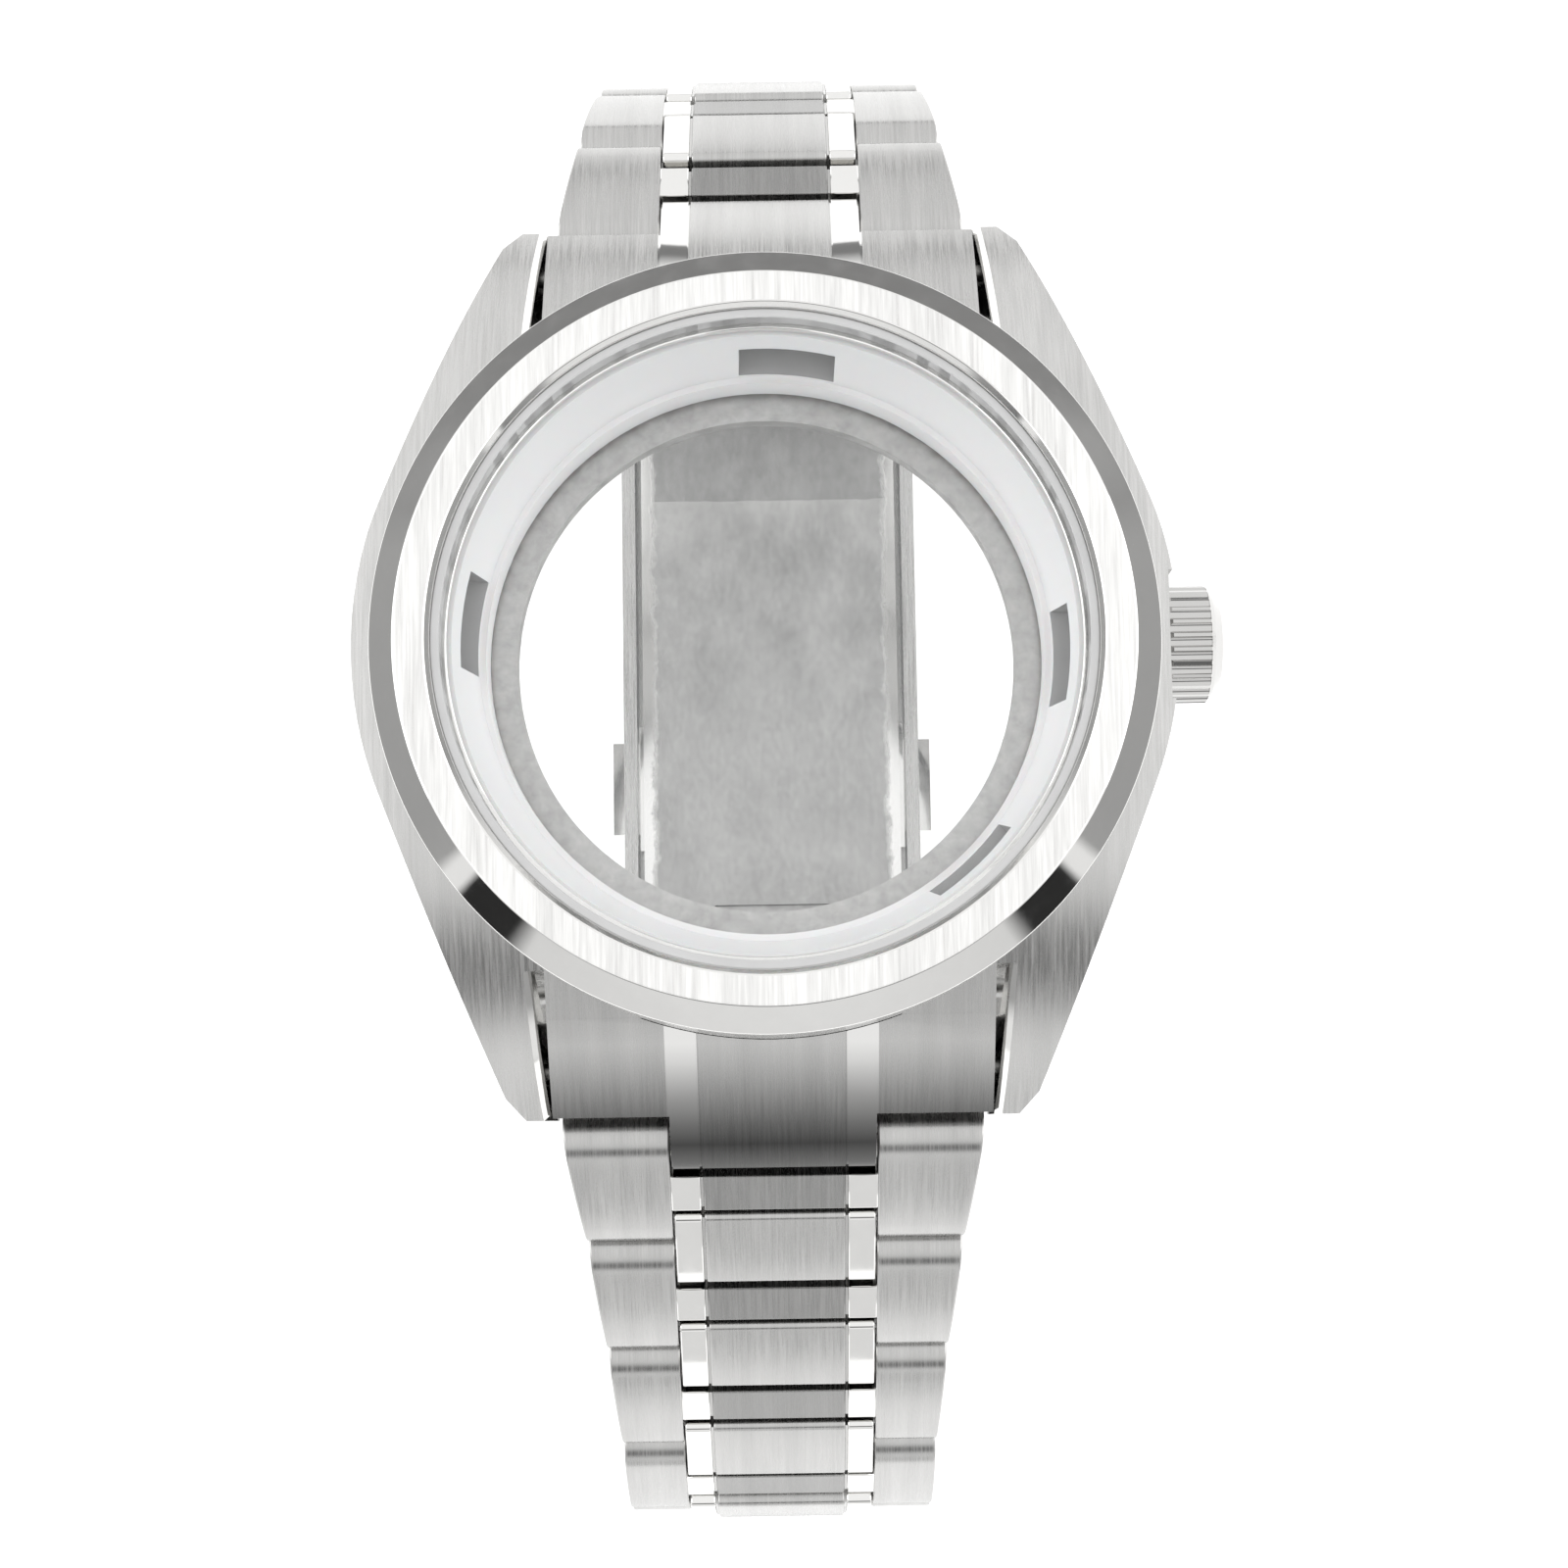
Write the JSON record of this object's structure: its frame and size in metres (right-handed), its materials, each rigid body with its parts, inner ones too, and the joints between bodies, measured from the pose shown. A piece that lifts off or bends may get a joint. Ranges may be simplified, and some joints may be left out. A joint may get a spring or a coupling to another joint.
{
  "type": "empty watch case",
  "caption": "Round steel wristwatch case without movement or dial, with a closed five-row link bracelet and a double fold clasp with side buttons.",
  "frame": {"origin": "on the case's axis, half way down the bore of the holder that takes the movement", "axes": "+Z out of the dial side, +Y to 12 o'clock, +X to the crown at 3 o'clock"},
  "size_m": [0.0389, 0.078, 0.0514],
  "materials": {
    "brushed_steel": "brushed",
    "centre_links": "brushed between polished strips",
    "polished_steel": "polished",
    "glass": "clear",
    "holder": "moulded",
    "crystal_gasket": "smooth",
    "gasket": "smooth"
  },
  "bodies": {
    "case": {"mid_case": "brushed_steel", "bezel": "brushed_steel", "crystal": "glass", "crystal_gasket": "crystal_gasket", "movement_holder": "holder", "crown_tube": "brushed_steel", "case_back_gasket": "gasket", "end_link_12": "brushed_steel", "end_link_6": "brushed_steel", "lug_spring_bars": "brushed_steel"},
    "case_back": {"case_back_ring": "brushed_steel", "back_glass": "glass", "back_glass_gasket": "gasket"},
    "crown_pull": {"crown_gasket": "gasket"},
    "crown": {"crown": "polished_steel"},
    "link_12_1": {"link_12_1": "brushed_steel"},
    "centre_12_1": {"centre_12_1": "centre_links"},
    "link_12_2": {"link_12_2": "brushed_steel"},
    "centre_12_2": {"centre_12_2": "centre_links"},
    "link_12_3": {"link_12_3": "brushed_steel"},
    "centre_12_3": {"centre_12_3": "centre_links"},
    "link_12_4": {"link_12_4": "brushed_steel"},
    "centre_12_4": {"centre_12_4": "centre_links"},
    "link_12_5": {"link_12_5": "brushed_steel"},
    "centre_12_5": {"centre_12_5": "centre_links"},
    "link_12_6": {"link_12_6": "brushed_steel"},
    "link_6_1": {"link_6_1": "brushed_steel"},
    "centre_6_1": {"centre_6_1": "centre_links"},
    "link_6_2": {"link_6_2": "brushed_steel"},
    "centre_6_2": {"centre_6_2": "centre_links"},
    "link_6_3": {"link_6_3": "brushed_steel"},
    "centre_6_3": {"centre_6_3": "centre_links"},
    "link_6_4": {"link_6_4": "brushed_steel"},
    "centre_6_4": {"centre_6_4": "centre_links"},
    "link_6_5": {"link_6_5": "brushed_steel"},
    "centre_6_5": {"centre_6_5": "centre_links"},
    "link_6_6": {"link_6_6": "brushed_steel"},
    "centre_6_6": {"centre_6_6": "centre_links"},
    "link_6_7": {"link_6_7": "brushed_steel"},
    "centre_6_7": {"centre_6_7": "centre_links"},
    "link_6_8": {"link_6_8": "brushed_steel"},
    "centre_6_8": {"centre_6_8": "centre_links"},
    "link_6_9": {"link_6_9": "brushed_steel"},
    "clasp_inner_blade": {"clasp_inner_blade": "brushed_steel", "clasp_bar_12": "brushed_steel", "clasp_blade_pin": "brushed_steel"},
    "clasp_middle_blade": {"clasp_middle_blade": "brushed_steel"},
    "clasp_cover": {"clasp_cover": "brushed_steel", "clasp_cover_pin": "brushed_steel", "clasp_bar_6": "brushed_steel", "clasp_button_spring": "brushed_steel"},
    "clasp_button_left": {"clasp_button_left": "polished_steel"},
    "clasp_button_right": {"clasp_button_right": "polished_steel"}
  },
  "joints": [
    {"name": "case_back_off", "type": "slide", "parent": "case", "child": "case_back", "axis": [0, 0, -1], "range_m": [0, 0.012]},
    {"name": "crown_pull", "type": "slide", "parent": "case", "child": "crown_pull", "axis": [1, 0, 0], "range_m": [0, 0.0015]},
    {"name": "crown_turn", "type": "hinge", "parent": "crown_pull", "child": "crown", "pos_m": [0.018, 0, 0.002], "axis": [1, 0, 0], "continuous": true},
    {"name": "bend_link_12_1", "type": "hinge", "parent": "case", "child": "link_12_1", "pos_m": [0, 0.0214, -0.0046], "axis": [1, 0, 0], "range_deg": [0, 2]},
    {"name": "bend_centre_12_1", "type": "hinge", "parent": "link_12_1", "child": "centre_12_1", "pos_m": [0, 0.02613, -0.00779], "axis": [1, 0, 0], "range_deg": [0, 13.21]},
    {"name": "bend_link_12_2", "type": "hinge", "parent": "centre_12_1", "child": "link_12_2", "pos_m": [0, 0.02744, -0.00902], "axis": [1, 0, 0], "range_deg": [0, 13.21]},
    {"name": "bend_centre_12_2", "type": "hinge", "parent": "link_12_2", "child": "centre_12_2", "pos_m": [0, 0.03091, -0.01354], "axis": [1, 0, 0], "range_deg": [0, 13.21]},
    {"name": "bend_link_12_3", "type": "hinge", "parent": "centre_12_2", "child": "link_12_3", "pos_m": [0, 0.03177, -0.01512], "axis": [1, 0, 0], "range_deg": [0, 13.21]},
    {"name": "bend_centre_12_3", "type": "hinge", "parent": "link_12_3", "child": "centre_12_3", "pos_m": [0, 0.03364, -0.0205], "axis": [1, 0, 0], "range_deg": [0, 13.21]},
    {"name": "bend_link_12_4", "type": "hinge", "parent": "centre_12_3", "child": "link_12_4", "pos_m": [0, 0.03395, -0.02228], "axis": [1, 0, 0], "range_deg": [0, 13.21]},
    {"name": "bend_centre_12_4", "type": "hinge", "parent": "link_12_4", "child": "centre_12_4", "pos_m": [0, 0.03402, -0.02798], "axis": [1, 0, 0], "range_deg": [0, 13.21]},
    {"name": "bend_link_12_5", "type": "hinge", "parent": "centre_12_4", "child": "link_12_5", "pos_m": [0, 0.03376, -0.02976], "axis": [1, 0, 0], "range_deg": [0, 13.21]},
    {"name": "bend_centre_12_5", "type": "hinge", "parent": "link_12_5", "child": "centre_12_5", "pos_m": [0, 0.03203, -0.03519], "axis": [1, 0, 0], "range_deg": [0, 13.21]},
    {"name": "bend_link_12_6", "type": "hinge", "parent": "centre_12_5", "child": "link_12_6", "pos_m": [0, 0.03121, -0.03679], "axis": [1, 0, 0], "range_deg": [0, 13.2]},
    {"name": "bend_link_6_1", "type": "hinge", "parent": "case", "child": "link_6_1", "pos_m": [0, -0.0214, -0.0046], "axis": [-1, 0, 0], "range_deg": [0, 11.19]},
    {"name": "bend_centre_6_1", "type": "hinge", "parent": "link_6_1", "child": "centre_6_1", "pos_m": [0, -0.02556, -0.0085], "axis": [-1, 0, 0], "range_deg": [0, 4.23]},
    {"name": "bend_link_6_2", "type": "hinge", "parent": "centre_6_1", "child": "link_6_2", "pos_m": [0, -0.02686, -0.00974], "axis": [-1, 0, 0], "range_deg": [0, 4.48]},
    {"name": "bend_centre_6_2", "type": "hinge", "parent": "link_6_2", "child": "centre_6_2", "pos_m": [0, -0.03097, -0.01369], "axis": [-1, 0, 0], "range_deg": [0, 5.02]},
    {"name": "bend_link_6_3", "type": "hinge", "parent": "centre_6_2", "child": "link_6_3", "pos_m": [0, -0.03225, -0.01496], "axis": [-1, 0, 0], "range_deg": [0, 6.17]},
    {"name": "bend_centre_6_3", "type": "hinge", "parent": "link_6_3", "child": "centre_6_3", "pos_m": [0, -0.03613, -0.01914], "axis": [-1, 0, 0], "range_deg": [0, 8.43]},
    {"name": "bend_link_6_4", "type": "hinge", "parent": "centre_6_3", "child": "link_6_4", "pos_m": [0, -0.03725, -0.02055], "axis": [-1, 0, 0], "range_deg": [0, 12.6]},
    {"name": "bend_centre_6_4", "type": "hinge", "parent": "link_6_4", "child": "centre_6_4", "pos_m": [0, -0.04009, -0.02549], "axis": [-1, 0, 0], "range_deg": [0, 19.03]},
    {"name": "bend_link_6_5", "type": "hinge", "parent": "centre_6_4", "child": "link_6_5", "pos_m": [0, -0.04055, -0.02723], "axis": [-1, 0, 0], "range_deg": [0, 26]},
    {"name": "bend_centre_6_5", "type": "hinge", "parent": "link_6_5", "child": "centre_6_5", "pos_m": [0, -0.03984, -0.03288], "axis": [-1, 0, 0], "range_deg": [0, 29.1]},
    {"name": "bend_link_6_6", "type": "hinge", "parent": "centre_6_5", "child": "link_6_6", "pos_m": [0, -0.03888, -0.03441], "axis": [-1, 0, 0], "range_deg": [0, 25.66]},
    {"name": "bend_centre_6_6", "type": "hinge", "parent": "link_6_6", "child": "centre_6_6", "pos_m": [0, -0.03427, -0.03776], "axis": [-1, 0, 0], "range_deg": [0, 18.61]},
    {"name": "bend_link_6_7", "type": "hinge", "parent": "centre_6_6", "child": "link_6_7", "pos_m": [0, -0.03259, -0.03842], "axis": [-1, 0, 0], "range_deg": [0, 12.3]},
    {"name": "bend_centre_6_7", "type": "hinge", "parent": "link_6_7", "child": "centre_6_7", "pos_m": [0, -0.02704, -0.03972], "axis": [-1, 0, 0], "range_deg": [0, 8.26]},
    {"name": "bend_link_6_8", "type": "hinge", "parent": "centre_6_7", "child": "link_6_8", "pos_m": [0, -0.02527, -0.04], "axis": [-1, 0, 0], "range_deg": [0, 6.08]},
    {"name": "bend_centre_6_8", "type": "hinge", "parent": "link_6_8", "child": "centre_6_8", "pos_m": [0, -0.01961, -0.04068], "axis": [-1, 0, 0], "range_deg": [0, 4.98]},
    {"name": "bend_link_6_9", "type": "hinge", "parent": "centre_6_8", "child": "link_6_9", "pos_m": [0, -0.01782, -0.04086], "axis": [-1, 0, 0], "range_deg": [0, 4.46]},
    {"name": "clasp_swing", "type": "hinge", "parent": "link_12_6", "child": "clasp_inner_blade", "pos_m": [0, 0.02786, -0.0414], "axis": [1, 0, 0], "range_deg": [0, 40]},
    {"name": "clasp_fold", "type": "hinge", "parent": "clasp_inner_blade", "child": "clasp_middle_blade", "pos_m": [0, -0.00854, -0.04105], "axis": [-1, 0, 0], "range_deg": [0, 130]},
    {"name": "clasp_cover_fold", "type": "hinge", "parent": "clasp_middle_blade", "child": "clasp_cover", "pos_m": [0, 0.02406, -0.04215], "axis": [1, 0, 0], "range_deg": [0, 130]},
    {"name": "clasp_button_right_press", "type": "slide", "parent": "clasp_cover", "child": "clasp_button_right", "axis": [-1, 0, 0], "range_m": [0, 0.0006], "stiffness_N_per_m": 800, "springref_m": -0.0015},
    {"name": "clasp_button_left_press", "type": "slide", "parent": "clasp_cover", "child": "clasp_button_left", "axis": [1, 0, 0], "range_m": [0, 0.0006], "stiffness_N_per_m": 800, "springref_m": -0.0015}
  ],
  "couplings": [
    {"joint": "clasp_cover_fold", "follows": "clasp_fold", "ratio": 1}
  ]
}
